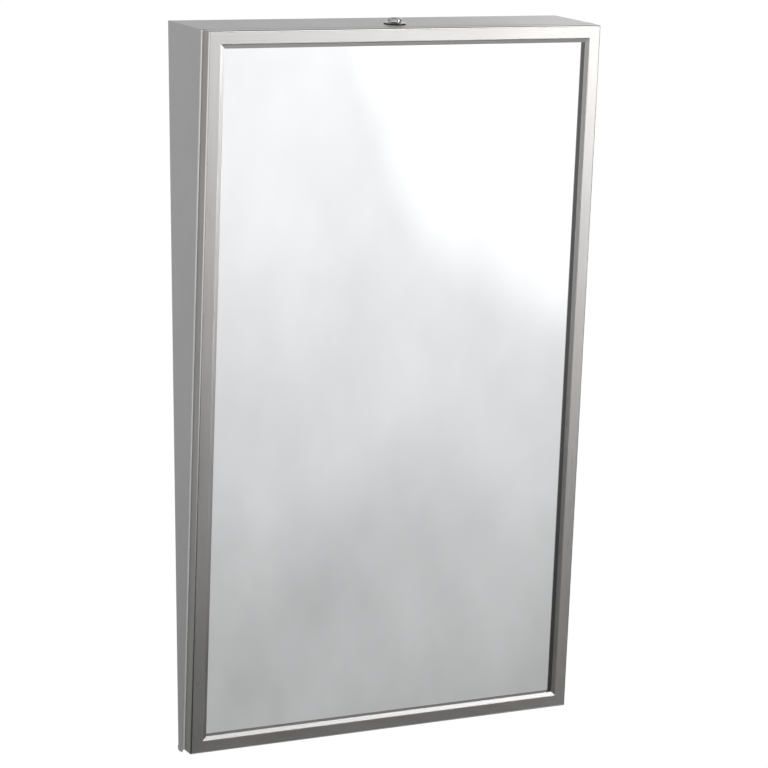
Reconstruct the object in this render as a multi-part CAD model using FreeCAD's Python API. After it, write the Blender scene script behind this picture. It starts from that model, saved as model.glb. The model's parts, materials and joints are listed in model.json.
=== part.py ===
import FreeCAD, Part
import math
import os

# Wall mirror in a wedge case that swings down from its wall plate about a hinge pin at its lower back edge.
# Millimetres. X runs to the right, Y into the wall and Z up; the wall is the plane Y = 0.
# The origin is the middle of the wall plate's back face.
# The case is drawn in its own leaning frame: X right, Y from the mirror's face into the case, Z up.

# Driving dimensions of the frame and the glass
face_width = 457.2
face_height = 762.0
lean_angle = 5.39
rail_sheet = 0.9
rail_bend = 1.0
rail_face = 13.6
rail_return = 8.0
bevel_width = 4.4
bevel_depth = 1.0
bevel_bend = 5.0
corner_radius = 1.2
glass_thickness = 6.0
glass_arris = 0.5
glass_edge_gap = 0.2
filler_front = 3.6
filler_side = 2.0
filler_setback = 0.3
filler_play = 0.05
pad_thickness = 5.059

# Driving dimensions of the case and the back panel
case_sheet = 1.0
case_bend = 0.8
case_return = 9.0
case_back_return = 10.0
case_bottom_lip = 1.9
case_wall_gap = 1.0
case_heel_radius = 3.5
case_sole_drop = 1.0
case_sole_gap = 0.3
case_sole_overlap = 1.5
back_panel_sheet = 1.2
back_panel_play = 0.4
return_gap = 1.0
wall_pad_diameter = 8.0
wall_pad_end_distance = 90.0

# Driving dimensions of the screws that hold the back panel
screw_diameter = 3.5
screw_hole_play = 0.1
screw_length = 5.0
screw_head_diameter = 6.4
screw_head_height = 2.2
screw_head_edge = 1.1
screw_recess_length = 3.2
screw_recess_width = 0.9
screw_recess_depth = 1.1
screw_edge_distance = 5.0
screw_end_distance = 48.0
side_screw_count = 5
top_screw_count = 4

# Driving dimensions of the hinge
knuckle_count = 9
knuckle_gap = 0.6
knuckle_relief = 0.6
pin_diameter = 4.0
pin_running_clearance = 0.08
pin_hole_play = 0.05
pin_end_recess = 0.4
pin_floor_gap = 0.3
leaf_sheet = 1.5
leaf_width = 25.0
hinge_spacer_thickness = 3.8
leaf_rivet_row = 16.0
leaf_rivet_count = 6
leaf_rivet_end_distance = 25.0
rivet_diameter = 4.0
rivet_hole_play = 0.05
rivet_head_diameter = 7.4
rivet_head_height = 1.4
rivet_head_edge = 1.25

# Driving dimensions of the wall plate
plate_sheet = 1.5
plate_bend = 1.0
plate_side_gap = 13.6
plate_side_flange = 6.0
plate_top_flange = 20.0
plate_top_gap = 3.0
plate_flange_relief = 8.0
plate_flange_start = 12.0
wall_hole_diameter = 6.5
wall_hole_edge_distance = 11.8
wall_hole_spacing_z = 609.6

# Driving dimensions of the lock and its keeper
lock_flange_rim = 2.75
lock_flange_height = 1.8
lock_flange_edge = 0.8
lock_crown_diameter = 15.0
lock_crown_height = 4.6
lock_crown_edge = 1.4
lock_crown_root = 2.0
lock_lip_diameter = 9.4
lock_lip_height = 1.0
lock_lip_edge = 0.3
lock_panel_distance = 20.2
lock_barrel_diameter = 18.0
lock_barrel_length = 16.0
lock_hole_play = 0.2
lock_washer_rim = 3.0
lock_washer_thickness = 1.0
lock_nut_wall = 2.0
lock_nut_height = 5.0
plug_diameter = 11.0
plug_running_clearance = 0.08
plug_end_play = 0.1
plug_square = 7.0
plug_square_play = 0.1
key_slot_length = 6.4
key_slot_width = 1.6
key_slot_depth = 3.0
cam_sheet = 2.5
cam_width = 16.0
cam_reach = 32.0
cam_heel_radius = 7.8
cam_tip_radius = 4.0
cam_top_gap = 0.5
cam_screw_diameter = 4.0
cam_screw_length = 8.0
cam_screw_head_diameter = 9.5
cam_screw_head_height = 2.4
cam_screw_head_edge = 1.2
keeper_sheet = 2.0
keeper_bend = 1.5
keeper_width = 22.0
keeper_side_gap = 3.5
keeper_cam_gap = 1.5
keeper_lip_gap = 2.0
keeper_lip_cover = 2.5
keeper_base_height = 28.0
keeper_rivet_spacing = 12.0

Vector = FreeCAD.Vector
AXIS_X = Vector(1, 0, 0)
AXIS_Y = Vector(0, 1, 0)
AXIS_Z = Vector(0, 0, 1)
SAME_POINT = 1e-6

# Depths behind the mirror's face, worked out from the stack that the frame holds
lean_sine = math.sin(math.radians(lean_angle))
lean_cosine = math.cos(math.radians(lean_angle))
bevel_angle = math.atan2(bevel_depth, bevel_width)
lip_reach = rail_face + bevel_width
lip_back = bevel_depth + rail_sheet * math.cos(bevel_angle)
filler_depth = lip_back + filler_play
glass_depth = filler_depth + filler_front
pad_depth = glass_depth + glass_thickness
panel_depth = pad_depth + pad_thickness
frame_depth = panel_depth - case_sheet
panel_back = panel_depth + back_panel_sheet

# The glass lies inside the returns, so that it goes in from behind
glass_inset = case_return + return_gap
filler_outside = glass_inset - glass_edge_gap - filler_side
filler_inside = lip_reach - filler_setback
panel_inset = case_sheet + case_bend + back_panel_play

# The case's sides stand outside the frame's, so that the rails seat on the flat of the sides' front returns
half_width = face_width / 2
case_proud = case_sheet + case_bend
case_half_width = half_width + case_proud
panel_side_inset = panel_inset - case_proud

# The wall plate stands inside the case's sides, and the hinge is as long as the plate is wide
plate_width = face_width - 2 * plate_side_gap
hinge_length = plate_width
wall_hole_spacing_x = plate_width - 2 * wall_hole_edge_distance

# The hinge and its spacer fill the space behind the back panel, which sets the depth of the case's bottom
barrel_radius = pin_diameter / 2 + pin_running_clearance + leaf_sheet
bore_radius = pin_diameter / 2 + pin_running_clearance
pin_depth = panel_back + barrel_radius
pin_level = barrel_radius + pin_floor_gap - case_sole_drop
pin_height = (pin_level - lean_sine * pin_depth) / lean_cosine
pin_wall_distance = plate_sheet + hinge_spacer_thickness + barrel_radius
bottom_projection = lean_cosine * pin_depth - lean_sine * pin_height + pin_wall_distance
panel_bottom = pin_height + barrel_radius + knuckle_relief


def back_depth(height, wall_distance):
    """Depth behind the face, at a height up the face, of a plane at a distance in front of the wall."""
    return (bottom_projection - wall_distance + lean_sine * height) / lean_cosine


def sole_height(depth):
    """Height up the face, at a depth behind it, of the level line along the bottom of the case's sides."""
    return -(case_sole_drop + lean_sine * depth) / lean_cosine


def down_the_wall(depth, height, length):
    """Point, as (depth, height), that lies a length straight down from a point of the case's frame."""
    return (depth - lean_sine * length, height - lean_cosine * length)


# Levels of the wall plate, measured up from the case's bottom front edge and then centred on the origin
top_back_depth = back_depth(face_height, case_wall_gap)
top_back_level = lean_cosine * face_height + lean_sine * top_back_depth
plate_bottom_level = pin_level + barrel_radius + knuckle_relief
plate_top_level = top_back_level - case_back_return - plate_top_gap
bottom_front_z = -(plate_bottom_level + plate_top_level) / 2
plate_bottom = plate_bottom_level + bottom_front_z
plate_top = plate_top_level + bottom_front_z
pin_z = pin_level + bottom_front_z
pin_y = -pin_wall_distance
wall_leaf_grip = plate_sheet + hinge_spacer_thickness + leaf_sheet
case_lean = FreeCAD.Rotation(AXIS_X, lean_angle)
case_place = FreeCAD.Placement(Vector(0, -bottom_projection, bottom_front_z), case_lean)

# The lock's flange, washer and nut are as wide as its barrel and their own rims
lock_flange_diameter = lock_barrel_diameter + 2 * lock_flange_rim
lock_washer_diameter = lock_barrel_diameter + 2 * lock_washer_rim
lock_nut_across_flats = lock_barrel_diameter + 2 * lock_nut_wall

# Depth of the lock's axis behind the face, and the levels of the lock's pieces on it
lock_depth = panel_back + lock_panel_distance
plug_top = face_height + lock_flange_height + lock_crown_height - lock_lip_height - plug_end_play
barrel_bottom = face_height - lock_barrel_length
cam_top = barrel_bottom - cam_top_gap
cam_bottom = cam_top - cam_sheet
keeper_arm_top = cam_bottom - keeper_cam_gap
keeper_lip_back = lock_depth - cam_width / 2 - keeper_lip_gap
keeper_lip_top = cam_top + keeper_lip_cover
keeper_left = lock_nut_across_flats / math.sqrt(3) + keeper_side_gap
keeper_middle = keeper_left + keeper_width / 2


def outline_edges(half):
    """Edges of an outline: corner that the run starts from, way inward, way of the run, length."""
    return {
        "left": (Vector(-half, 0, 0), AXIS_X, AXIS_Z, face_height),
        "right": (Vector(half, 0, face_height), -AXIS_X, -AXIS_Z, face_height),
        "top": (Vector(-half, 0, face_height), -AXIS_Z, AXIS_X, 2 * half),
        "bottom": (Vector(half, 0, 0), AXIS_Z, -AXIS_X, 2 * half),
    }


FRAME_EDGES = outline_edges(half_width)
CASE_EDGES = outline_edges(case_half_width)


def unit(start, end):
    """Unit direction from one flat point to another."""
    length = math.dist(start, end)
    return ((end[0] - start[0]) / length, (end[1] - start[1]) / length)


def outline_face(points, radii):
    """Flat face in the XY plane whose corners are rounded by the given radii."""
    edges = []
    count = len(points)
    entries = []
    for index, point in enumerate(points):
        towards = unit(point, points[index - 1])
        onwards = unit(point, points[(index + 1) % count])
        radius = radii[index]
        corner = Vector(point[0], point[1], 0)
        if radius <= 0:
            entries.append((corner, None, corner))
            continue
        half_angle = math.acos(towards[0] * onwards[0] + towards[1] * onwards[1]) / 2
        setback = radius / math.tan(half_angle)
        middle = Vector(towards[0] + onwards[0], towards[1] + onwards[1], 0)
        middle.normalize()
        first = corner + Vector(towards[0], towards[1], 0) * setback
        last = corner + Vector(onwards[0], onwards[1], 0) * setback
        crown = corner + middle * (radius / math.sin(half_angle) - radius)
        entries.append((first, crown, last))
    for index, (first, crown, last) in enumerate(entries):
        if crown is not None:
            edges.append(Part.Arc(first, crown, last).toShape())
        following = entries[(index + 1) % count][0]
        if (following - last).Length > SAME_POINT:
            edges.append(Part.LineSegment(last, following).toShape())
    return Part.Face(Part.Wire(edges))


def folded_face(points, sheet, bends):
    """Section of a folded sheet that lies to the left of its points, with the inner radius of each bend."""
    last = len(points) - 1
    directions = [unit(points[i], points[i + 1]) for i in range(last)]
    other_side = []
    near_radii = []
    far_radii = []
    for index, point in enumerate(points):
        before = directions[max(index - 1, 0)]
        after = directions[min(index, last - 1)]
        turn = before[0] * after[1] - before[1] * after[0]
        normal_before = (-before[1], before[0])
        normal_after = (-after[1], after[0])
        share = 1 + normal_before[0] * normal_after[0] + normal_before[1] * normal_after[1]
        shift_x = sheet * (normal_before[0] + normal_after[0]) / share
        shift_y = sheet * (normal_before[1] + normal_after[1]) / share
        other_side.append((point[0] + shift_x, point[1] + shift_y))
        inner = bends[index - 1] if 0 < index < last else 0
        outer = inner + sheet if 0 < index < last else 0
        near_radii.append(outer if turn > 0 else inner)
        far_radii.append(inner if turn > 0 else outer)
    return outline_face(points + other_side[::-1], near_radii + far_radii[::-1])


def rectangle_face(left, right, low, high):
    """Flat rectangle in the XY plane."""
    return outline_face([(left, low), (right, low), (right, high), (left, high)], [0, 0, 0, 0])


def placed(shape, origin, x_axis, y_axis, z_axis):
    """Copy of a shape with its own axes turned to the given ones."""
    copy = shape.copy()
    turn = FreeCAD.Rotation(x_axis, y_axis, z_axis, "XYZ")
    copy.Placement = FreeCAD.Placement(origin, turn).multiply(copy.Placement)
    return copy


def along_x(face, start, end):
    """Solid swept along X from a face drawn as (depth, height)."""
    return placed(face.extrude(Vector(0, 0, end - start)), Vector(start, 0, 0), AXIS_Y, AXIS_Z, AXIS_X)


def turned(points, radii, origin, axis):
    """Solid of revolution about an axis, from an outline drawn as (radius, level along the axis)."""
    shape = outline_face(points, radii).revolve(Vector(0, 0, 0), AXIS_Y, 360)
    side = axis.cross(AXIS_X)
    if side.Length < 0.5:
        side = axis.cross(AXIS_Y)
    side.normalize()
    return placed(shape, origin, side, axis, side.cross(axis))


def ring(origin, axis, outer, inner, length):
    """Plain ring that starts at the origin and runs along the axis."""
    body = Part.makeCylinder(outer, length, origin, axis)
    return body.cut(Part.makeCylinder(inner, length, origin, axis))


def evenly(start, end, count):
    """Evenly spaced values that include both ends."""
    return [start + (end - start) * index / (count - 1) for index in range(count)]


def mitre_block(edge, reach, deep):
    """Block along one edge of an outline whose ends are cut at 45 degrees."""
    origin, inward, run, length = edge
    corners = [(0, 0), (reach, reach), (reach, length - reach), (0, length), (0, 0)]
    wire = Part.makePolygon([Vector(x, 0, z) for x, z in corners])
    return placed(Part.Face(wire).extrude(Vector(0, deep, 0)), origin, inward, AXIS_Y, run)


def edge_run(edge, face):
    """Mitred strip along one edge of an outline, from a section drawn as (distance inward, depth)."""
    origin, inward, run, length = edge
    box = face.BoundBox
    strip = placed(face.extrude(Vector(0, 0, length)), origin, inward, AXIS_Y, run)
    return strip.common(mitre_block(edge, box.XMax, box.YMax))


def rounded_block(half, deep):
    """Block of a whole outline with its long edges rounded, which trims the corners of the outer sheets."""
    corners = [(-half, 0), (half, 0), (half, face_height), (-half, face_height)]
    face = outline_face(corners, [corner_radius] * 4)
    return placed(face.extrude(Vector(0, 0, deep)), Vector(0, deep, 0), AXIS_X, AXIS_Z, -AXIS_Y)


def frame_rail(edge):
    """Folded rail: return at the back, side wall, flat face and the shallow bevel above the glass."""
    section = [
        (rail_return, frame_depth),
        (0, frame_depth),
        (0, 0),
        (rail_face, 0),
        (lip_reach, bevel_depth),
    ]
    face = folded_face(section, rail_sheet, [rail_bend, rail_bend, bevel_bend])
    return edge_run(FRAME_EDGES[edge], face).common(rounded_block(half_width, frame_depth))


def filler(edge):
    """Black strip between the lip of the rail and the glass, with a leg along the edge of the glass."""
    corner = filler_outside + filler_side
    points = [
        (filler_outside, filler_depth),
        (filler_inside, filler_depth),
        (filler_inside, glass_depth),
        (corner, glass_depth),
        (corner, pad_depth),
        (filler_outside, pad_depth),
    ]
    return edge_run(FRAME_EDGES[edge], outline_face(points, [0] * len(points)))


def slab(inset_side, inset_bottom, inset_top, depth, thickness):
    """Flat rectangular sheet parallel to the mirror's face."""
    width = face_width - 2 * inset_side
    height = face_height - inset_bottom - inset_top
    return Part.makeBox(width, thickness, height, Vector(inset_side - half_width, depth, inset_bottom))


def glass():
    """Mirror glass with its front and back edges eased."""
    pane = slab(glass_inset, glass_inset, glass_inset, glass_depth, glass_thickness)
    faces = [face for face in pane.Faces if abs(face.normalAt(0, 0).y) > 0.9]
    edges = [edge for face in faces for edge in face.Edges]
    return pane.makeChamfer(glass_arris, edges)


def screw_spots():
    """Where the back panel's screws go in, as (x, height up the face)."""
    spots = []
    low, high = screw_end_distance, face_height - screw_end_distance
    for height in evenly(low, high, side_screw_count):
        spots.append((-half_width + screw_edge_distance, height))
        spots.append((half_width - screw_edge_distance, height))
    reach = half_width - screw_end_distance
    for x in evenly(-reach, reach, top_screw_count):
        spots.append((x, face_height - screw_edge_distance))
    return spots


def panel_screw(x, height):
    """Pan-head screw with a cross recess, driven towards the mirror's face."""
    radius = screw_diameter / 2
    head = screw_head_diameter / 2
    top = screw_head_height
    shank_end = -(back_panel_sheet + screw_length)
    points = [(0, shank_end), (radius, shank_end), (radius, 0), (head, 0), (head, top), (0, top)]
    shape = turned(points, [0, 0, 0, 0, screw_head_edge, 0], Vector(x, panel_back, height), AXIS_Y)
    bar = screw_recess_length
    start = panel_back + screw_head_height - screw_recess_depth
    for across, up in ((bar, screw_recess_width), (screw_recess_width, bar)):
        corner = Vector(x - across / 2, start, height - up / 2)
        shape = shape.cut(Part.makeBox(across, screw_recess_depth, up, corner))
    return shape


def screw_holes(start, end):
    """Cutters for the screws' holes between two depths."""
    radius = screw_diameter / 2 + screw_hole_play
    return [Part.makeCylinder(radius, end - start, Vector(x, start, z), AXIS_Y) for x, z in screw_spots()]


def rivet(origin, axis, grip):
    """Domed rivet: its head stands on the origin and its shank runs back through the grip."""
    radius = rivet_diameter / 2
    head = rivet_head_diameter / 2
    top = rivet_head_height
    points = [(0, -grip), (radius, -grip), (radius, 0), (head, 0), (head, top), (0, top)]
    return turned(points, [0, 0, 0, 0, rivet_head_edge, 0], origin, axis)


def rivet_hole(origin, axis, grip):
    """Cutter for the hole that a rivet passes through."""
    return Part.makeCylinder(rivet_diameter / 2 + rivet_hole_play, grip, origin - axis * grip, axis)


def case_outline(front, wall_distance, heel_radius, height):
    """Outline of the case's side, drawn as (depth, height), from the level sole with a rounded heel."""
    back = bottom_projection - wall_distance
    heel_depth = lean_cosine * back - lean_sine * case_sole_drop
    points = [
        (front, sole_height(front)),
        (heel_depth, sole_height(heel_depth)),
        (back_depth(height, wall_distance), height),
        (front, height),
    ]
    return outline_face(points, [0, heel_radius, 0, 0])


def case_side(edge):
    """Wedge-shaped side with a return behind the frame and one along the wall."""
    deep = top_back_depth
    bend_line = case_wall_gap + case_sheet + case_bend
    front_section = [(0, deep), (0, frame_depth), (case_proud + case_return, frame_depth)]
    front = edge_run(CASE_EDGES[edge], folded_face(front_section, case_sheet, [case_bend]))
    trim = case_outline(frame_depth, bend_line, 0, face_height)
    front = front.common(along_x(trim, -case_half_width, case_half_width))
    back_section = [(case_back_return, -case_wall_gap), (0, -case_wall_gap), (0, -2 * bend_line)]
    back = folded_face(back_section, case_sheet, [case_bend]).extrude(Vector(0, 0, 2 * face_height))
    back.translate(Vector(-case_half_width, 0, -face_height))
    if edge == "right":
        back = back.mirror(Vector(0, 0, 0), AXIS_X)
    back.Placement = case_place.inverse().multiply(back.Placement)
    back = back.common(mitre_block(CASE_EDGES[edge], case_back_return, 2 * deep))
    outline = case_outline(frame_depth, case_wall_gap, case_heel_radius, face_height)
    outline = along_x(outline, -case_half_width, case_half_width)
    shape = front.fuse(back).common(outline).common(rounded_block(case_half_width, 2 * deep))
    sole_start = frame_depth + case_bottom_lip + case_sole_gap
    sole_outline = case_outline(sole_start, case_wall_gap, case_heel_radius, case_sole_overlap)
    if edge == "left":
        sole = along_x(sole_outline, -case_half_width, case_sheet - case_half_width)
    else:
        sole = along_x(sole_outline, case_half_width - case_sheet, case_half_width)
    shape = shape.fuse(sole)
    hole_radius = pin_diameter / 2 + pin_hole_play
    pin_start = Vector(-case_half_width, pin_depth, pin_height)
    pin_hole = Part.makeCylinder(hole_radius, 2 * case_half_width, pin_start, AXIS_X)
    shape = shape.cut([pin_hole] + screw_holes(frame_depth, panel_depth))
    return shape.removeSplitter()


def case_top():
    """Top of the case with the hole for the lock and a return down the wall."""
    fold = down_the_wall(top_back_depth, face_height, case_back_return)
    section = [
        (face_height - fold[1], fold[0]),
        (0, top_back_depth),
        (0, frame_depth),
        (case_return, frame_depth),
    ]
    shape = edge_run(CASE_EDGES["top"], folded_face(section, case_sheet, [case_bend] * 2))
    shape = shape.common(rounded_block(case_half_width, 2 * top_back_depth))
    hole_radius = lock_barrel_diameter / 2 + lock_hole_play
    hole_start = Vector(0, lock_depth, face_height - case_sheet)
    hole = Part.makeCylinder(hole_radius, case_sheet, hole_start, AXIS_Z)
    return shape.cut([hole] + screw_holes(frame_depth, panel_depth))


def case_bottom():
    """Narrow strip behind the lower rail, in front of the hinge."""
    section = [(0, frame_depth + case_bottom_lip), (0, frame_depth), (case_return, frame_depth)]
    shape = edge_run(CASE_EDGES["bottom"], folded_face(section, case_sheet, [case_bend]))
    return shape.common(rounded_block(case_half_width, 2 * frame_depth))


def rivet_row():
    """Places of the rivets along the hinge."""
    reach = hinge_length / 2 - leaf_rivet_end_distance
    return evenly(-reach, reach, leaf_rivet_count)


def case_leaf_spot(x):
    """Head of a rivet on the moving leaf, in the case's own frame."""
    return Vector(x, panel_back + leaf_sheet, pin_height + leaf_rivet_row)


def wall_leaf_spot(x):
    """Head of a rivet on the fixed leaf."""
    return Vector(x, -wall_leaf_grip, pin_z + leaf_rivet_row)


def back_panel():
    """Flat sheet that closes the frame from behind and carries the hinge."""
    sheet = slab(panel_side_inset, panel_bottom, panel_inset, panel_depth, back_panel_sheet)
    cutters = screw_holes(panel_depth, panel_back)
    grip = leaf_sheet + back_panel_sheet
    cutters += [rivet_hole(case_leaf_spot(x), AXIS_Y, grip) for x in rivet_row()]
    return sheet.cut(cutters)


def hinge_leaf(first_knuckle):
    """Leaf with every second knuckle about the pin, with its plate on the side towards the mirror."""
    pitch = hinge_length / knuckle_count
    start = -hinge_length / 2
    plate_low = -barrel_radius
    plate_high = leaf_sheet - barrel_radius
    upper = rectangle_face(plate_low, plate_high, barrel_radius + knuckle_relief, leaf_width)
    leaf = along_x(upper, start, -start)
    lower = rectangle_face(plate_low, plate_high, 0, barrel_radius + knuckle_relief)
    for index in range(first_knuckle, knuckle_count, 2):
        left = start + index * pitch + knuckle_gap / 2
        right = left + pitch - knuckle_gap
        barrel = Part.makeCylinder(barrel_radius, right - left, Vector(left, 0, 0), AXIS_X)
        leaf = leaf.fuse([along_x(lower, left, right), barrel])
    bore = Part.makeCylinder(bore_radius, hinge_length, Vector(start, 0, 0), AXIS_X)
    return leaf.cut(bore).removeSplitter()


def hinge_case_leaf():
    """Moving leaf, on the back panel."""
    leaf = hinge_leaf(1)
    leaf.translate(Vector(0, pin_depth, pin_height))
    return leaf.cut([rivet_hole(case_leaf_spot(x), AXIS_Y, leaf_sheet) for x in rivet_row()])


def hinge_wall_leaf():
    """Fixed leaf, on the wall plate."""
    leaf = hinge_leaf(0).mirror(Vector(0, 0, 0), AXIS_Y)
    leaf.translate(Vector(0, pin_y, pin_z))
    return leaf.cut([rivet_hole(wall_leaf_spot(x), -AXIS_Y, leaf_sheet) for x in rivet_row()])


def hinge_spacer():
    """Bar that holds the fixed leaf off the wall plate."""
    start = -hinge_length / 2
    front = -plate_sheet - hinge_spacer_thickness
    section = rectangle_face(front, -plate_sheet, plate_bottom, pin_z + leaf_width)
    bar = along_x(section, start, -start)
    return bar.cut([rivet_hole(wall_leaf_spot(x), -AXIS_Y, wall_leaf_grip) for x in rivet_row()])


def hinge_pin():
    """Pin that runs through both leaves and ends in the case's sides."""
    length = 2 * (case_half_width - pin_end_recess)
    return Part.makeCylinder(pin_diameter / 2, length, Vector(-length / 2, pin_depth, pin_height), AXIS_X)


def keeper_rivet_spots():
    """Heads of the keeper's rivets, below the bend of its base."""
    wall_depth = back_depth(keeper_arm_top, plate_sheet)
    corner = case_place.multVec(Vector(0, wall_depth, keeper_arm_top))
    level = corner.z - (keeper_base_height + keeper_sheet + keeper_bend) / 2
    half = keeper_rivet_spacing / 2
    depth = -plate_sheet - keeper_sheet
    return [Vector(keeper_middle + side * half, depth, level) for side in (-1, 1)]


def lock_keeper():
    """Hooked bracket: base on the wall plate, arm under the cam and an upright lip in front of the cam."""
    wall_depth = back_depth(keeper_arm_top, plate_sheet)
    points = [
        down_the_wall(wall_depth, keeper_arm_top, keeper_base_height),
        (wall_depth, keeper_arm_top),
        (keeper_lip_back, keeper_arm_top),
        (keeper_lip_back, keeper_lip_top),
    ]
    face = folded_face(points, keeper_sheet, [keeper_bend] * 2)
    bracket = along_x(face, keeper_left, keeper_left + keeper_width)
    bracket.Placement = case_place.multiply(bracket.Placement)
    return bracket.cut([rivet_hole(spot, -AXIS_Y, keeper_sheet) for spot in keeper_rivet_spots()])


def wall_plate():
    """Flat plate with forward flanges along its sides and its top, and the holes for the wall screws."""
    half = plate_width / 2
    web_corner = Vector(-half, -plate_sheet, plate_bottom)
    web = Part.makeBox(plate_width, plate_sheet, plate_top - plate_bottom, web_corner)
    flange_low = pin_z + leaf_width + plate_flange_start
    flange_high = plate_top - plate_flange_relief
    front = -plate_sheet - plate_side_flange
    section = [(half, front), (half, 0), (-half, 0), (-half, front)]
    channel = folded_face(section, plate_sheet, [plate_bend] * 2)
    channel = channel.extrude(Vector(0, 0, flange_high - flange_low))
    channel.translate(Vector(0, 0, flange_low))
    slot_corner = Vector(-half, -plate_sheet, flange_low)
    slot = Part.makeBox(plate_width, plate_sheet, flange_high - flange_low, slot_corner)
    head = [(0, flange_high), (0, plate_top), (-plate_sheet - plate_top_flange, plate_top)]
    top = along_x(folded_face(head, plate_sheet, [plate_bend]), -half, half)
    top_slot_corner = Vector(-half, -plate_sheet, flange_high)
    top_slot = Part.makeBox(plate_width, plate_sheet, plate_flange_relief, top_slot_corner)
    plate = web.cut([slot, top_slot]).fuse([channel, top]).removeSplitter()
    cutters = []
    for x in (-wall_hole_spacing_x / 2, wall_hole_spacing_x / 2):
        for z in (-wall_hole_spacing_z / 2, wall_hole_spacing_z / 2):
            start = Vector(x, -plate_sheet, z)
            cutters.append(Part.makeCylinder(wall_hole_diameter / 2, plate_sheet, start, AXIS_Y))
    cutters += [rivet_hole(wall_leaf_spot(x), -AXIS_Y, wall_leaf_grip) for x in rivet_row()]
    cutters += [rivet_hole(spot, -AXIS_Y, plate_sheet + keeper_sheet) for spot in keeper_rivet_spots()]
    return plate.cut(cutters)


def wall_pads():
    """Rubber pads on the case's returns that meet the wall."""
    pads = []
    x = case_half_width - case_back_return / 2
    low = bottom_front_z + wall_pad_end_distance
    high = top_back_level + bottom_front_z - wall_pad_end_distance
    for side in (-x, x):
        for z in (low, high):
            start = Vector(side, -case_wall_gap, z)
            pads.append(Part.makeCylinder(wall_pad_diameter / 2, case_wall_gap, start, AXIS_Y))
    return Part.makeCompound(pads)


def lock_body():
    """Housing: flange and crown above the case's top, threaded barrel below it, bore for the plug."""
    flange = lock_flange_diameter / 2
    crown = lock_crown_diameter / 2
    barrel = lock_barrel_diameter / 2
    bore = plug_diameter / 2 + plug_running_clearance
    lip = lock_lip_diameter / 2
    crown_top = lock_flange_height + lock_crown_height
    points = [
        (bore, -lock_barrel_length),
        (barrel, -lock_barrel_length),
        (barrel, 0),
        (flange, 0),
        (flange, lock_flange_height),
        (crown, lock_flange_height),
        (crown, crown_top),
        (lip, crown_top),
        (lip, crown_top - lock_lip_height),
        (bore, crown_top - lock_lip_height),
    ]
    radii = [0, 0, 0, 0, lock_flange_edge, lock_crown_root, lock_crown_edge, lock_lip_edge, 0, 0]
    return turned(points, radii, Vector(0, lock_depth, face_height), AXIS_Z)


def lock_washer():
    """Plain washer under the case's top."""
    start = Vector(0, lock_depth, face_height - case_sheet - lock_washer_thickness)
    inner = lock_barrel_diameter / 2 + lock_hole_play
    return ring(start, AXIS_Z, lock_washer_diameter / 2, inner, lock_washer_thickness)


def lock_nut():
    """Hexagon nut on the barrel, with two flats square to the case's depth."""
    level = face_height - case_sheet - lock_washer_thickness - lock_nut_height
    start = Vector(0, lock_depth, level)
    radius = lock_nut_across_flats / math.sqrt(3)
    corners = []
    for index in range(7):
        angle = math.radians(60 * index)
        corners.append(start + Vector(radius * math.cos(angle), radius * math.sin(angle), 0))
    prism = Part.Face(Part.makePolygon(corners)).extrude(AXIS_Z * lock_nut_height)
    bore = lock_barrel_diameter / 2 + lock_hole_play
    return prism.cut(Part.makeCylinder(bore, lock_nut_height, start, AXIS_Z))


def lock_plug():
    """Plug with a key slot in its face, a square end for the cam and a hole for the cam's screw."""
    radius = plug_diameter / 2
    shoulder = barrel_bottom
    origin = Vector(0, lock_depth, shoulder)
    plug = Part.makeCylinder(radius, plug_top - shoulder, origin, AXIS_Z)
    half = plug_square / 2
    square_corner = Vector(-half, lock_depth - half, cam_bottom)
    square = Part.makeBox(plug_square, plug_square, shoulder - cam_bottom, square_corner)
    slot_side = lock_depth - key_slot_width / 2
    slot_corner = Vector(-key_slot_length / 2, slot_side, plug_top - key_slot_depth)
    slot = Part.makeBox(key_slot_length, key_slot_width, key_slot_depth, slot_corner)
    hole_radius = cam_screw_diameter / 2 + plug_square_play
    hole = Part.makeCylinder(hole_radius, cam_screw_length, Vector(0, lock_depth, cam_bottom), AXIS_Z)
    return plug.fuse(square).cut([slot, hole]).removeSplitter()


def lock_cam():
    """Flat cam with round ends and a square hole, pointing to the wall when it is unlocked."""
    half = cam_width / 2
    corners = [(-half, -half), (half, -half), (half, cam_reach), (-half, cam_reach)]
    radii = [cam_heel_radius, cam_heel_radius, cam_tip_radius, cam_tip_radius]
    face = outline_face(corners, radii)
    plate = face.extrude(AXIS_Z * cam_sheet)
    plate.translate(Vector(0, lock_depth, cam_bottom))
    half_square = plug_square / 2 + plug_square_play
    corner = Vector(-half_square, lock_depth - half_square, cam_bottom)
    return plate.cut(Part.makeBox(2 * half_square, 2 * half_square, cam_sheet, corner))


def cam_screw():
    """Screw under the cam, driven up into the plug."""
    radius = cam_screw_diameter / 2
    head = cam_screw_head_diameter / 2
    reach = cam_screw_length - plug_end_play
    points = [
        (0, -reach),
        (radius, -reach),
        (radius, 0),
        (head, 0),
        (head, cam_screw_head_height),
        (0, cam_screw_head_height),
    ]
    radii = [0, 0, 0, 0, cam_screw_head_edge, 0]
    return turned(points, radii, Vector(0, lock_depth, cam_bottom), -AXIS_Z)


def in_case(shape):
    """Moves a shape from the case's own leaning frame to its place in front of the wall."""
    shape.Placement = case_place.multiply(shape.Placement)
    return shape


def frame_rails():
    """The four rails, with the screws' holes through their returns."""
    holes = screw_holes(frame_depth - rail_sheet, frame_depth)
    return {f"frame_{edge}": frame_rail(edge).cut(holes) for edge in FRAME_EDGES}


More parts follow.
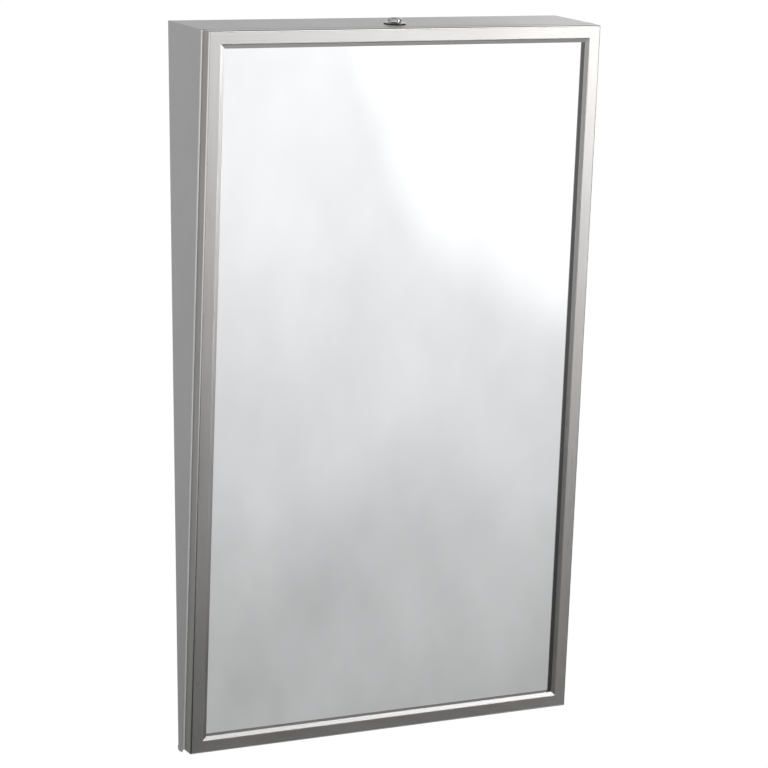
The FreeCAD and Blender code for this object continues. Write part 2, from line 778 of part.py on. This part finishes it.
parts = {
    "case_left": case_side("left"),
    "case_right": case_side("right"),
    "case_top": case_top(),
    "case_bottom": case_bottom(),
    "mirror_glass": glass(),
    "mirror_pad": slab(glass_inset, glass_inset, glass_inset, pad_depth, pad_thickness),
    "back_panel": back_panel(),
    "back_panel_screws": Part.makeCompound([panel_screw(x, z) for x, z in screw_spots()]),
    "hinge_case_leaf": hinge_case_leaf(),
    "case_leaf_rivets": Part.makeCompound(
        [rivet(case_leaf_spot(x), AXIS_Y, leaf_sheet + back_panel_sheet) for x in rivet_row()]
    ),
    "hinge_pin": hinge_pin(),
    "lock_body": lock_body(),
    "lock_washer": lock_washer(),
    "lock_nut": lock_nut(),
    "lock_plug": lock_plug(),
    "lock_cam": lock_cam(),
    "cam_screw": cam_screw(),
}
parts.update(frame_rails())
parts.update({f"filler_{edge}": filler(edge) for edge in FRAME_EDGES})
parts = {name: in_case(shape) for name, shape in parts.items()}
parts["wall_plate"] = wall_plate()
parts["hinge_spacer"] = hinge_spacer()
parts["hinge_wall_leaf"] = hinge_wall_leaf()
parts["wall_leaf_rivets"] = Part.makeCompound(
    [rivet(wall_leaf_spot(x), -AXIS_Y, wall_leaf_grip) for x in rivet_row()]
)
parts["lock_keeper"] = lock_keeper()
parts["keeper_rivets"] = Part.makeCompound(
    [rivet(spot, -AXIS_Y, keeper_sheet + plate_sheet) for spot in keeper_rivet_spots()]
)
parts["wall_pads"] = wall_pads()

os.makedirs("parts", exist_ok=True)
for name, shape in parts.items():
    shape.exportStep(f"parts/{name}.step")

top_projection = bottom_projection + lean_sine * face_height
print(f"projects {bottom_projection:.2f} mm at the bottom and {top_projection:.2f} mm at the top")
print(f"frame depth {frame_depth:.2f} mm, hinge pin at y {pin_y:.3f} z {pin_z:.3f} mm")
lock_point = case_place.multVec(Vector(0, lock_depth, face_height))
print(f"lock axis through y {lock_point.y:.3f} z {lock_point.z:.3f} mm")
print(f"bottom front edge at z {bottom_front_z:.3f} mm")
print(f"wall plate from z {plate_bottom:.2f} to {plate_top:.2f} mm")
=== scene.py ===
import json
import math

import bmesh
import bpy
from mathutils import Matrix, Vector

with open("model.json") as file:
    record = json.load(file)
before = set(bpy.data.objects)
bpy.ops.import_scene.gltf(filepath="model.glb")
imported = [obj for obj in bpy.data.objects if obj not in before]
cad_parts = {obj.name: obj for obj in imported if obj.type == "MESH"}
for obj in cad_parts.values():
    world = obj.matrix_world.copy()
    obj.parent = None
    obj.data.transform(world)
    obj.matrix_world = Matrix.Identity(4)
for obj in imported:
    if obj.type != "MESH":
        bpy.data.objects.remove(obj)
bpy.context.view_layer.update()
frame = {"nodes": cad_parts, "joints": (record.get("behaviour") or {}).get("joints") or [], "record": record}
scene = bpy.context.scene

# The lock stands along the mirror's face, so its axis gives the face's lean
lock_joint = next(joint for joint in frame["joints"] if joint["name"] == "lock_turn")
LEAN = math.asin(lock_joint["axis"][1])
FACE = Vector((0, -math.cos(LEAN), -math.sin(LEAN)))
LOCK_UP = -Vector(lock_joint["axis"])
LOCK_SEAT = LOCK_UP.dot(Vector(lock_joint["pos_m"]))

# Camera, fitted to the outline in the photograph
IMAGE_PIXELS = 768
FOCAL_PIXELS = 3047.672
SENSOR_WIDTH = 36.0
CLIP_START = 0.05
CLIP_END = 100.0
CAMERA_AZIMUTH = math.radians(-27.226)
CAMERA_ELEVATION = math.radians(7.792)
CAMERA_ROLL = math.radians(-0.274)
CAMERA_SIDE = 0.014444
CAMERA_RISE = 0.372007
CAMERA_DISTANCE = 3.339678
FRONT_EDGE_Z = -0.381094


def make_camera():
    """The camera of the photograph, placed from the middle of the frame's lower front edge."""
    sine_a, cosine_a = math.sin(CAMERA_AZIMUTH), math.cos(CAMERA_AZIMUTH)
    sine_e, cosine_e = math.sin(CAMERA_ELEVATION), math.cos(CAMERA_ELEVATION)
    back = Vector((sine_a * cosine_e, -cosine_a * cosine_e, sine_e))
    level = Vector((cosine_a, sine_a, 0))
    upright = back.cross(level)
    right = math.cos(CAMERA_ROLL) * level + math.sin(CAMERA_ROLL) * upright
    up = math.cos(CAMERA_ROLL) * upright - math.sin(CAMERA_ROLL) * level
    place = back * CAMERA_DISTANCE + right * CAMERA_SIDE + up * CAMERA_RISE
    place.z += FRONT_EDGE_Z
    lens = bpy.data.cameras.new("camera")
    lens.sensor_width = SENSOR_WIDTH
    lens.lens = FOCAL_PIXELS / IMAGE_PIXELS * SENSOR_WIDTH
    lens.clip_start = CLIP_START
    lens.clip_end = CLIP_END
    camera = bpy.data.objects.new("camera", lens)
    turn = Matrix((right, up, back)).transposed()
    camera.matrix_world = Matrix.Translation(place) @ turn.to_4x4()
    scene.collection.objects.link(camera)
    scene.camera = camera


# Helpers that build node trees


class Tree:
    """A node tree with short ways to add and link nodes."""

    def __init__(self, tree):
        self.nodes = tree.nodes
        self.links = tree.links
        self.shader = tree.nodes.get("Principled BSDF")

    def add(self, kind, **settings):
        """Adds a node with these settings."""
        node = self.nodes.new(kind)
        for name, value in settings.items():
            setattr(node, name, value)
        return node

    def feed(self, socket, value):
        """Links a socket to an output, or sets its own value."""
        if isinstance(value, bpy.types.NodeSocket):
            self.links.new(value, socket)
        else:
            socket.default_value = value

    def paint(self, **outputs):
        """Links outputs to the shader's sockets of those names."""
        for name, output in outputs.items():
            self.links.new(output, self.shader.inputs[name.replace("_", " ")])

    def math(self, operation, first, second=0.0):
        """Result of an operation on one or two numbers."""
        node = self.add("ShaderNodeMath", operation=operation)
        self.feed(node.inputs[0], first)
        self.feed(node.inputs[1], second)
        return node.outputs[0]

    def remap(self, value, low, high, to_low=0.0, to_high=1.0, kind="SMOOTHSTEP"):
        """A value taken from one span to another, and held at the ends."""
        node = self.add("ShaderNodeMapRange", interpolation_type=kind)
        for index, item in enumerate((value, low, high, to_low, to_high)):
            self.feed(node.inputs[index], item)
        return node.outputs[0]

    def mix(self, share, first, second):
        """A mix of two colours."""
        node = self.add("ShaderNodeMix", data_type="RGBA")
        self.feed(node.inputs[0], share)
        self.feed(node.inputs[6], first)
        self.feed(node.inputs[7], second)
        return node.outputs[2]

    def greys(self, share, tones, warm=0.0):
        """A mix of two greys of equal warmth."""
        return self.mix(share, grey(tones[0], warm), grey(tones[1], warm))

    def blend(self, share, first, second):
        """A mix of two numbers."""
        node = self.add("ShaderNodeMix", data_type="FLOAT")
        self.feed(node.inputs[0], share)
        self.feed(node.inputs[2], first)
        self.feed(node.inputs[3], second)
        return node.outputs[0]

    def both(self, first, second, share):
        """A sum of two numbers, of which the first has this share."""
        return self.math("ADD", self.math("MULTIPLY", first, share), self.math("MULTIPLY", second, 1 - share))

    def vector(self, operation, first, second):
        """Result of an operation on two vectors."""
        node = self.add("ShaderNodeVectorMath", operation=operation)
        self.feed(node.inputs[0], first)
        self.feed(node.inputs[1], second)
        return node.outputs["Value" if operation == "DOT_PRODUCT" else "Vector"]

    def noise(self, vector, scale, detail=2.0, roughness=0.5, distortion=0.0, colour=False):
        """Noise as a number, or as a colour."""
        node = self.add("ShaderNodeTexNoise")
        self.feed(node.inputs["Vector"], vector)
        node.inputs["Scale"].default_value = scale
        node.inputs["Detail"].default_value = detail
        node.inputs["Roughness"].default_value = roughness
        node.inputs["Distortion"].default_value = distortion
        return node.outputs[1 if colour else 0]

    def place(self):
        """Position on the part, in metres."""
        return self.add("ShaderNodeTexCoord").outputs["Object"]

    def normal(self):
        """The surface's direction on the part, which stays the same when the part swings."""
        return self.add("ShaderNodeTexCoord").outputs["Normal"]

    def to_world(self, vector):
        """A direction on the part, as it stands in the world."""
        settings = {"vector_type": "VECTOR", "convert_from": "OBJECT", "convert_to": "WORLD"}
        node = self.add("ShaderNodeVectorTransform", **settings)
        self.links.new(vector, node.inputs[0])
        return node.outputs[0]

    def stretched(self, sizes, lean):
        """Position divided by a grain's sizes along X, Y and Z, in a frame that leans about X."""
        node = self.add("ShaderNodeMapping", vector_type="TEXTURE")
        self.links.new(self.place(), node.inputs["Vector"])
        node.inputs["Rotation"].default_value = (lean, 0, 0)
        node.inputs["Scale"].default_value = sizes
        return node.outputs[0]

    def bump(self, height, distance):
        """A normal from a height, of which one stands this far out in metres."""
        node = self.add("ShaderNodeBump")
        node.inputs["Distance"].default_value = distance
        self.links.new(height, node.inputs["Height"])
        return node.outputs[0]


def grey(level, warm=0.0):
    """A grey, a little warmer or cooler."""
    return (level * (1 + warm), level, level * (1 - warm), 1.0)


def new_material(name, **sockets):
    """A material whose shader has the given uniform values, and its tree."""
    material = bpy.data.materials.new(name)
    material.use_nodes = True
    tree = Tree(material.node_tree)
    for socket, value in sockets.items():
        tree.shader.inputs[socket.replace("_", " ")].default_value = value
    return material, tree


# Most values of a noise lie in this span
NOISE_SPAN = (0.3, 0.7)

# Brushed steel: the sizes of its lines and bands, and how far its tone and gloss vary
LINE_LENGTH = 0.12
LINE_WIDTH = 0.00045
GRAIN = {
    "x": (LINE_LENGTH, LINE_WIDTH, LINE_WIDTH),
    "z": (LINE_WIDTH, LINE_WIDTH, LINE_LENGTH),
}
BAND_BREADTH = 6
LINE_SHARE = 0.6
TONE_SPREAD = 0.03
GLOSS_SPREAD = 0.05
WIPE_SPAN = (0.35, 0.75)
WIPE_ROUGHNESS = (-0.02, 0.03)

# Folds at the front, which get a painted highlight: the spans over which they set in, and the roughness on a
# fold
FOLD_SLANT = (0.25, 0.42)
FOLD_FRONT = (0.7, 0.95)
FOLD_ROUGHNESS = 0.12

# The frame's gloss is drawn out square to a line that tilts forward from upright by this angle
GLOSS_TILT = math.radians(25.0)


def front_fold(tree, run_out):
    """Share of the painted highlight: a front fold, where the sheet turns away from the face or, run out, all
    that faces front.
    """
    front = tree.vector("DOT_PRODUCT", tree.normal(), FACE)
    if run_out:
        return tree.remap(front, *FOLD_FRONT)
    slant = tree.math("SQRT", tree.math("SUBTRACT", 1.0, tree.math("MULTIPLY", front, front)))
    return tree.remap(tree.math("MULTIPLY", front, slant), *FOLD_SLANT)


def brushed(name, run, tone, warm, roughness, depth, lean, anisotropy=0.0, painted_highlight=0.0, run_out=False):
    """Satin stainless sheet: fine lines along the run, faint wipe marks, and a painted highlight that
    lightens the front folds.
    """
    material, tree = new_material(name, Metallic=1.0, Anisotropic=anisotropy)
    broad = [size * BAND_BREADTH for size in GRAIN[run]]
    lines = tree.noise(tree.stretched(GRAIN[run], lean), scale=1.0, detail=3.0, roughness=0.6)
    bands = tree.noise(tree.stretched(broad, lean), scale=1.0)
    wipes = tree.noise(tree.place(), scale=9.0, detail=3.0, roughness=0.55, distortion=0.6)
    streak = tree.both(lines, bands, LINE_SHARE)
    tones = (tone * (1 - TONE_SPREAD), tone * (1 + TONE_SPREAD))
    colour = tree.greys(tree.remap(streak, *NOISE_SPAN), tones, warm)
    gloss = (roughness * (1 - GLOSS_SPREAD), roughness * (1 + GLOSS_SPREAD))
    smear = tree.remap(wipes, *WIPE_SPAN, *WIPE_ROUGHNESS)
    rough = tree.math("ADD", tree.remap(streak, *NOISE_SPAN, *gloss), smear)
    # Painted highlight: a lighter base colour on the front folds, or on all that faces front when run out
    if painted_highlight:
        fold = front_fold(tree, run_out)
        colour = tree.mix(fold, colour, grey(tone * painted_highlight, warm))
        rough = tree.blend(fold, rough, roughness if run_out else FOLD_ROUGHNESS)
    tree.paint(Base_Color=colour, Roughness=rough, Normal=tree.bump(lines, depth))
    if anisotropy:
        line = (0, -math.sin(GLOSS_TILT), math.cos(GLOSS_TILT))
        tree.paint(Tangent=tree.to_world(tree.vector("CROSS_PRODUCT", tree.normal(), line)))
    return material


# Mirror: its tones, and the roughness of its dust
SILVER_DIM = (0.895, 0.90, 0.91, 1)
SILVER_BRIGHT = (0.92, 0.925, 0.937, 1)
DUST_SPAN = (0.55, 0.8)
DUST_ROUGHNESS = (0.0, 0.018)


def mirror_silver():
    """Silvered glass: an even bright reflection, a faint haze and a trace of dust."""
    material, tree = new_material("mirror", Metallic=1.0, Coat_Weight=0.3, Coat_Roughness=0.0)
    haze = tree.noise(tree.place(), scale=5.0, detail=4.0, roughness=0.6, distortion=0.4)
    dust = tree.noise(tree.place(), scale=240.0, detail=3.0, roughness=0.7)
    colour = tree.mix(tree.remap(haze, *NOISE_SPAN), SILVER_DIM, SILVER_BRIGHT)
    tree.paint(Base_Color=colour, Roughness=tree.remap(dust, *DUST_SPAN, *DUST_ROUGHNESS))
    return material


def black_grained(name, specular, scale, detail, fineness, tones, roughness, depth):
    """Black strip or rubber with a fine even grain."""
    material, tree = new_material(name, Specular_IOR_Level=specular)
    grain = tree.noise(tree.place(), scale, detail, fineness)
    rough = tree.remap(grain, *NOISE_SPAN, *roughness)
    tree.paint(Base_Color=tree.greys(grain, tones), Roughness=rough, Normal=tree.bump(grain, depth))
    return material


# Felt: how much its fibres count beside its clumps, its tones, and the height of a fibre
FIBRE_SHARE = 0.7
FELT_TONES = (0.16, 0.32)
FIBRE_HEIGHT = 0.0006


def felt():
    """Pressed grey felt."""
    material, tree = new_material("felt_pad", Roughness=0.95, Sheen_Weight=0.3, Sheen_Roughness=0.5)
    fibres = tree.noise(tree.place(), scale=700.0, detail=6.0, roughness=0.75, distortion=1.5)
    clumps = tree.noise(tree.place(), scale=60.0, detail=3.0, roughness=0.6)
    share = tree.remap(tree.both(fibres, clumps, FIBRE_SHARE), *NOISE_SPAN)
    tree.paint(Base_Color=tree.greys(share, FELT_TONES), Normal=tree.bump(fibres, FIBRE_HEIGHT))
    return material


# Galvanised sheet: the waver of its crystals' outlines, their number to a metre, tones, gloss and stains
SPANGLE_WAVER = (0.006, 0.006, 0.006)
SPANGLE_SCALE = 110.0
SPANGLE_TONES = (0.44, 0.6)
SPANGLE_WARMTH = -0.02
SPANGLE_ROUGHNESS = (0.34, 0.5)
STAIN_SPAN = (0.4, 0.8)
STAIN_ROUGHNESS = (0.0, 0.1)
ZINC_HEIGHT = 0.00003


def galvanised():
    """Hot-dipped sheet with a soft spangle."""
    material, tree = new_material("galvanised_sheet", Metallic=1.0)
    ripple = tree.noise(tree.place(), scale=90.0, colour=True)
    waver = tree.vector("MULTIPLY", ripple, SPANGLE_WAVER)
    spangle = tree.add("ShaderNodeTexVoronoi")
    tree.links.new(tree.vector("ADD", tree.place(), waver), spangle.inputs["Vector"])
    spangle.inputs["Scale"].default_value = SPANGLE_SCALE
    crystal = tree.add("ShaderNodeSeparateColor")
    tree.links.new(spangle.outputs["Color"], crystal.inputs[0])
    shade, gloss = crystal.outputs[:2]
    stain = tree.noise(tree.place(), scale=14.0, detail=4.0, roughness=0.6)
    stained = tree.remap(stain, *STAIN_SPAN, *STAIN_ROUGHNESS)
    rough = tree.math("ADD", tree.remap(gloss, 0.0, 1.0, *SPANGLE_ROUGHNESS), stained)
    height = tree.noise(tree.place(), scale=350.0, detail=3.0)
    colour = tree.greys(shade, SPANGLE_TONES, SPANGLE_WARMTH)
    tree.paint(Base_Color=colour, Roughness=rough, Normal=tree.bump(height, ZINC_HEIGHT))
    return material


# Small metal parts: the scale of tarnish beside that of the marks, its tones, and the depth of a mark
TARNISH_BREADTH = 8
TARNISH_DIM = 0.88
TARNISH_BRIGHT = 1.06
MARK_DEPTH = 0.00001


def plain_metal(name, tone, warm, roughness, scale):
    """Small turned or pressed metal parts: slight tarnish and fine handling marks."""
    material, tree = new_material(name, Metallic=1.0)
    marks = tree.noise(tree.place(), scale, detail=5.0, roughness=0.7)
    tarnish = tree.noise(tree.place(), scale / TARNISH_BREADTH, detail=3.0, roughness=0.6)
    tones = (tone * TARNISH_DIM, tone * TARNISH_BRIGHT)
    colour = tree.greys(tree.remap(tarnish, *NOISE_SPAN), tones, warm)
    rough = tree.remap(marks, *NOISE_SPAN, *roughness)
    tree.paint(Base_Color=colour, Roughness=rough, Normal=tree.bump(marks, MARK_DEPTH))
    return material


# Lock: its tones, the painted shade on its flange's rim and the height where that ends, and its gloss
LOCK_TONES = (0.30, 0.36)
RIM_SHADE_TONE = 0.03
RIM_SHADE_HEIGHT = (0.0011, 0.0017)
LOCK_ROUGHNESS = (0.18, 0.26)
LOCK_MARK_DEPTH = 0.000001


def lock_metal():
    """Plated lock with painted shade darkening its flange's rim, and fine handling marks."""
    material, tree = new_material("lock_chrome", Metallic=1.0)
    marks = tree.noise(tree.place(), scale=1500.0, detail=5.0, roughness=0.7)
    height = tree.math("SUBTRACT", tree.vector("DOT_PRODUCT", tree.place(), LOCK_UP), LOCK_SEAT)
    bright = tree.greys(tree.remap(marks, *NOISE_SPAN), LOCK_TONES)
    # Painted shade: the flange's rim is painted near black below this height, in place of its shadow and dark
    # reflection
    colour = tree.mix(tree.remap(height, *RIM_SHADE_HEIGHT), grey(RIM_SHADE_TONE), bright)
    rough = tree.remap(marks, *NOISE_SPAN, *LOCK_ROUGHNESS)
    tree.paint(Base_Color=colour, Roughness=rough, Normal=tree.bump(marks, LOCK_MARK_DEPTH))
    return material


# Finishes, with tones as linear greys and depths in metres
CASE_FINISH = {
    "tone": 0.34,
    "warm": 0.0,
    "roughness": 0.36,
    "depth": 0.000006,
    "lean": 0.0,
    # Painted highlight: every front-facing surface of the case is lightened this many times
    "painted_highlight": 1.9,
    "run_out": True,
}
FRAME_FINISH = {
    "tone": 0.295,
    "warm": 0.018,
    "roughness": 0.30,
    "depth": 0.0000003,
    "lean": LEAN,
    "anisotropy": 0.7,
    # Painted highlight: the frame's front folds are lightened this many times
    "painted_highlight": 1.25,
}
HINGE_FINISH = {"tone": 0.5, "warm": 0.01, "roughness": 0.34, "depth": 0.00001, "lean": 0.0}
RIVET_FINISH = {"tone": 0.5, "warm": 0.0, "roughness": (0.25, 0.37), "scale": 1600.0}
ZINC_FINISH = {"tone": 0.58, "warm": -0.03, "roughness": (0.28, 0.42), "scale": 1100.0}
STRIP_FINISH = {
    "specular": 0.6,
    "scale": 900.0,
    "detail": 3.0,
    "fineness": 0.6,
    "tones": (0.006, 0.016),
    "roughness": (0.28, 0.38),
    "depth": 0.00005,
}
RUBBER_FINISH = {
    "specular": 0.4,
    "scale": 1200.0,
    "detail": 4.0,
    "fineness": 0.7,
    "tones": (0.02, 0.05),
    "roughness": (0.6, 0.8),
    "depth": 0.00008,
}


def dress_nodes():
    """Gives every node its material, with the grain of the case and the frame along each piece."""
    by_slot = {
        "mirror": mirror_silver(),
        "black_filler": black_grained("black_filler", **STRIP_FINISH),
        "felt_pad": felt(),
        "galvanised_sheet": galvanised(),
        "hinge_steel": brushed("hinge_steel", "x", **HINGE_FINISH),
        "rivet_steel": plain_metal("rivet_steel", **RIVET_FINISH),
        "zinc_plate": plain_metal("zinc_plate", **ZINC_FINISH),
        "lock_chrome": lock_metal(),
        "pad_rubber": black_grained("pad_rubber", **RUBBER_FINISH),
    }
    case_upright = brushed("satin_stainless", "z", **CASE_FINISH)
    case_across = brushed("satin_stainless_across", "x", **CASE_FINISH)
    frame_upright = brushed("frame_stainless", "z", **FRAME_FINISH)
    frame_across = brushed("frame_stainless_across", "x", **FRAME_FINISH)
    by_node = {
        "case_left": case_upright,
        "case_right": case_upright,
        "case_top": case_across,
        "case_bottom": case_across,
        "frame_left": frame_upright,
        "frame_right": frame_upright,
        "frame_top": frame_across,
        "frame_bottom": frame_across,
    }
    for row in frame["record"]["subparts"]:
        material = by_node.get(row["node"]) or by_slot[row["material_slot"]]
        for slot in frame["nodes"][row["node"]].material_slots:
            slot.material = material


# Floor, in metres
FLOOR_RADIUS = 1.3
FLOOR_SEGMENTS = 160
FLOOR_PLACE = (0, -0.3, -1.4)
FLOOR_TONES = (0.74, 0.82)


def make_floor():
    """A plain pale round floor, as far under the mirror as it would hang above one."""
    mesh = bpy.data.meshes.new("floor")
    shape = bmesh.new()
    bmesh.ops.create_circle(shape, cap_ends=True, segments=FLOOR_SEGMENTS, radius=FLOOR_RADIUS)
    shape.to_mesh(mesh)
    shape.free()
    floor = bpy.data.objects.new("floor", mesh)
    floor.location = FLOOR_PLACE
    scene.collection.objects.link(floor)
    material, tree = new_material("floor", Roughness=0.8)
    cloud = tree.noise(tree.place(), scale=1.5, detail=3.0)
    tree.paint(Base_Color=tree.greys(cloud, FLOOR_TONES))
    mesh.materials.append(material)


# Studio: azimuths in degrees from -Y towards +X, and rise as the upward part of a unit vector
ROOM_RISE = (-0.34, -0.06)
ROOM_LEVEL = (0.0, 0.7)
LEFT_AZIMUTH = (-2.0, 12.0)
LEFT_RISE = (-0.35, -0.19)
LEFT_LEVEL = (0.06, 1.8)
GROUND_AZIMUTH = (28.0, 38.0)
GROUND_RISE = (-0.57, -0.51)
GROUND_LEVEL = (0.6, 4.0)
OVERHEAD_RISE = (0.25, 0.9)
OVERHEAD_LEVEL = (1.0, 0.12)

SOFTBOX_BEARING = 40.5
SOFTBOX_SPREAD = 5.0
SOFTBOX_RISE = -0.09
SOFTBOX_HEIGHT = 0.14
SOFTBOX_POWER = 2.0
SOFTBOX_LEVEL = 25.0

CARD_BEARING = 27.0
CARD_WIDTH = 7.0
CARD_POWER = 10.0
CARD_FOOT = (-0.52, -0.42)
CARD_RISE = (-0.44, -0.18)
CARD_LEVEL = (0.435, 1.05)
CARD_WHITE = 1.16
EDGE_START = 27.27
EDGE_WIDTH = 1.3
EDGE_LIMIT = 2.0
EDGE_DROP = 0.0755
EDGE_FOOT = -0.272
EDGE_BLUR = (-0.012, 0.018)
CLOUD_SQUEEZE = (1.0, 1.0, 0.5)
CLOUD_SCALE = 36.0
CLOUD_SPAN = (0.25, 0.75)
CLOUD_LEVEL = (-0.06, 0.06)

WALL_DEPTH = (0.1, 0.5)
WALL_LEVEL = 1.02
WALL_TOP_RISE = (0.0, 0.12)
WALL_TOP_SIDE = (0.46, 0.54)
WALL_TOP_LEVEL = (0.84, 1.7)
PALE_SIDE = (-0.35, 0.2)
PALE_RISE = (-0.36, -0.06)
PALE_LEVEL = (0.24, 0.9)


def radians(limits):
    """Angles in radians."""
    return [math.radians(limit) for limit in limits]


def bell(tree, value, middle, width, power):
    """One at the middle, falling off on both sides over a width, and more squarely with a higher power."""
    off = tree.math("DIVIDE", tree.math("SUBTRACT", value, middle), width)
    steep = tree.math("POWER", tree.math("ABSOLUTE", off), power)
    return tree.math("EXPONENT", tree.math("MULTIPLY", steep, -1.0))


def room_light(tree, azimuth, rise):
    """The room: dim below the horizon but for the left and the ground, and dark overhead."""
    left = tree.remap(azimuth, *radians(LEFT_AZIMUTH), 1.0, 0.0)
    low_right = tree.remap(rise, *ROOM_RISE, *ROOM_LEVEL)
    low_left = tree.remap(rise, *LEFT_RISE, *LEFT_LEVEL)
    ground_level = tree.remap(azimuth, *radians(GROUND_AZIMUTH), *GROUND_LEVEL)
    ground = tree.remap(rise, *GROUND_RISE, ground_level, 0.0)
    below = tree.math("ADD", tree.blend(left, low_right, low_left), ground)
    return tree.math("MULTIPLY", below, tree.remap(rise, *OVERHEAD_RISE, *OVERHEAD_LEVEL))


def softbox_light(tree, azimuth, rise):
    """A softbox on the horizon, in front and to the right."""
    bearing, spread = radians((SOFTBOX_BEARING, SOFTBOX_SPREAD))
    aside = bell(tree, azimuth, bearing, spread, SOFTBOX_POWER)
    upward = bell(tree, rise, SOFTBOX_RISE, SOFTBOX_HEIGHT, SOFTBOX_POWER)
    return tree.math("MULTIPLY", tree.math("MULTIPLY", aside, upward), SOFTBOX_LEVEL)


def card_share(tree, azimuth, rise):
    """Where the card stands in front of the room."""
    bearing, width = radians((CARD_BEARING, CARD_WIDTH))
    wide = bell(tree, azimuth, bearing, width, CARD_POWER)
    return tree.math("MULTIPLY", wide, tree.remap(rise, *CARD_FOOT))


def card_light(tree, way, azimuth, rise):
    """The card, which the mirror shows: grey at its foot, white past a curved edge, with soft clouds."""
    start, width = radians((EDGE_START, EDGE_WIDTH))
    before = tree.math("DIVIDE", tree.math("SUBTRACT", start, azimuth), width)
    curve = tree.math("EXPONENT", tree.math("MINIMUM", before, EDGE_LIMIT))
    edge = tree.math("ADD", tree.math("MULTIPLY", curve, EDGE_DROP), EDGE_FOOT)
    past = tree.remap(tree.math("SUBTRACT", rise, edge), *EDGE_BLUR)
    tone = tree.blend(past, tree.remap(rise, *CARD_RISE, *CARD_LEVEL), CARD_WHITE)
    puffs = tree.noise(tree.vector("MULTIPLY", way, CLOUD_SQUEEZE), CLOUD_SCALE, detail=3.0)
    return tree.math("ADD", tone, tree.remap(puffs, *CLOUD_SPAN, *CLOUD_LEVEL, "LINEAR"))


def wall_light(tree, across, rise):
    """The wall behind: white to the right, and pale grey that darkens downwards to the left."""
    top = tree.remap(across, *WALL_TOP_SIDE, *WALL_TOP_LEVEL)
    white = tree.remap(rise, *WALL_TOP_RISE, WALL_LEVEL, top)
    pale = tree.remap(rise, *PALE_RISE, *PALE_LEVEL)
    return tree.blend(tree.remap(across, *PALE_SIDE), pale, white)


def make_world():
    """A studio: a dim room with a softbox and a pale card in front of the mirror, and a wall behind it."""
    world = bpy.data.worlds.new("studio")
    world.use_nodes = True
    tree = Tree(world.node_tree)
    way = tree.add("ShaderNodeTexCoord").outputs["Generated"]
    split = tree.add("ShaderNodeSeparateXYZ")
    tree.links.new(way, split.inputs[0])
    across, depth, rise = split.outputs
    azimuth = tree.math("ARCTAN2", across, tree.math("MULTIPLY", depth, -1.0))
    room = tree.math("ADD", room_light(tree, azimuth, rise), softbox_light(tree, azimuth, rise))
    card = card_light(tree, way, azimuth, rise)
    front = tree.blend(card_share(tree, azimuth, rise), room, card)
    seen = tree.blend(tree.remap(depth, *WALL_DEPTH), front, wall_light(tree, across, rise))
    tree.links.new(seen, tree.nodes["Background"].inputs["Color"])
    scene.world = world


# Key lamp
KEY_AZIMUTH = math.radians(40.0)
KEY_ELEVATION = math.radians(45.0)
KEY_DISTANCE = 4.0
KEY_SIZE = 1.6
KEY_WATTS = 30.0


def make_key_lamp():
    """A soft round lamp, high in front and to the right, that faces the mirror."""
    data = bpy.data.lights.new("key", "AREA")
    data.shape = "DISK"
    data.size = KEY_SIZE
    data.energy = KEY_WATTS
    lamp = bpy.data.objects.new("key", data)
    level = math.cos(KEY_ELEVATION)
    way = Vector((math.sin(KEY_AZIMUTH) * level, -math.cos(KEY_AZIMUTH) * level, math.sin(KEY_ELEVATION)))
    lamp.location = way * KEY_DISTANCE
    lamp.rotation_mode = "QUATERNION"
    lamp.rotation_quaternion = way.to_track_quat("Z", "Y")
    scene.collection.objects.link(lamp)


dress_nodes()
make_camera()
make_floor()
make_world()
make_key_lamp()

scene.view_settings.view_transform = "Standard"
